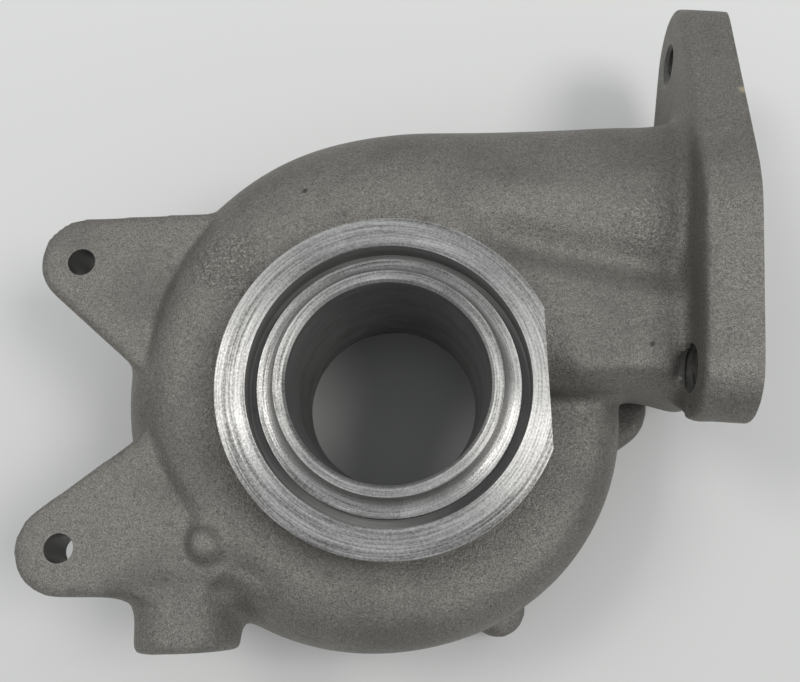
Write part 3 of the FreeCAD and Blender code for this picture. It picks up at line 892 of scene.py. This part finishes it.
def studio():
    """Pale floor under the housing, painted lighter towards the north, soft sky brighter above, a window
    light from each side.
    """
    bm = bmesh.new()
    add_box(bm, (-FLOOR_HALF, -FLOOR_HALF, -FLOOR_THICKNESS), (FLOOR_HALF, FLOOR_HALF, 0.0))
    floor = closed_piece("floor", bm)
    material, tree, shader, at = new_material("pale_floor")
    way = add_node(tree, "ShaderNodeSeparateXYZ", (-1200, 0))
    tree.links.new(at, way.inputs[0])
    # painted light: floor colour lighter towards the north (+Y), standing in for the light's falloff; noise
    # adds uneven tone
    painted_light_falloff = spread(tree, way.outputs["Y"], -0.2, 0.2, 0.0, 0.8)
    wear_and_painted_shade = maths(tree, "MULTIPLY_ADD", noise(tree, at, 3.0, 2.0), 0.2, painted_light_falloff)
    tree.links.new(tint(tree, wear_and_painted_shade, FLOOR_LOW, FLOOR_HIGH), shader.inputs["Base Color"])
    shader.inputs["Roughness"].default_value = 0.75
    floor.data.materials.append(material)
    world = bpy.data.worlds.new("soft_sky")
    world.use_nodes = True
    sky = world.node_tree
    sky.nodes["Background"].inputs["Color"].default_value = (0.95, 0.98, 1.0, 1.0)
    way = add_node(sky, "ShaderNodeSeparateXYZ", (-500, 0))
    sky.links.new(add_node(sky, "ShaderNodeTexCoord", (-700, 0)).outputs["Generated"], way.inputs[0])
    height = spread(sky, way.outputs["Z"], 0.0, 1.0, SKY_RIM, SKY_TOP)
    north = maths(sky, "MULTIPLY_ADD", way.outputs["Y"], SKY_NORTH, 1.0)
    sky.links.new(maths(sky, "MULTIPLY", height, north), sky.nodes["Background"].inputs["Strength"])
    bpy.context.scene.world = world
    for lamp in LAMPS:
        area_lamp(*lamp)
    bpy.context.scene.view_settings.view_transform = "Standard"


take_photo_view()
casting = casting_blank()
cast_rounds(casting)
for cutter in machining_cuts():
    cut_away(casting, cutter)
sand = sand_skin_group()
stains = stains_group()
lines = lathe_lines_group()
drilled = drilled_iron(stains)
# Bore and groove: darker copies of the turned finish, partly painted shade of the deep bore and groove
bore = shaded_iron("bore_iron", lines, stains, (0.13, 0.129, 0.126), (0.20, 0.198, 0.194))
groove = shaded_iron("groove_iron", lines, stains, (0.19, 0.188, 0.184), (0.26, 0.257, 0.251))
finish_surfaces(casting, [cast_iron(sand, stains), turned_iron(lines, stains), milled_iron(stains), drilled,
                          bore, groove])
casting.data.shade_smooth()
casting.data.set_sharp_from_angle(angle=math.radians(SHARP_ANGLE))
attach(casting, "root")
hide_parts(NODE)

helix = thread_tree()
start, length, depth = STUD_THREAD
stud_threads = threads("flange_threads", helix, [(FLANGE_BACK + start, y, z) for y, z in STUD_HOLES], drilled,
                       Radius=STUD_R * MM, Pitch=THREAD_PITCH * MM, Depth=depth * MM, Length=length * MM,
                       Turn=(0.0, 0.5 * math.pi, 0.0))
start, length, depth = BOLT_THREAD
bolt_threads = threads("bearing_threads", helix, [(x, y, start) for x, y in bolt_places()], drilled,
                       Radius=BOLT_R * MM, Pitch=THREAD_PITCH * MM, Depth=depth * MM, Length=length * MM,
                       Turn=(0.0, 0.0, 0.0))
for piece in (stud_threads, bolt_threads):
    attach(piece, "root")

studio()
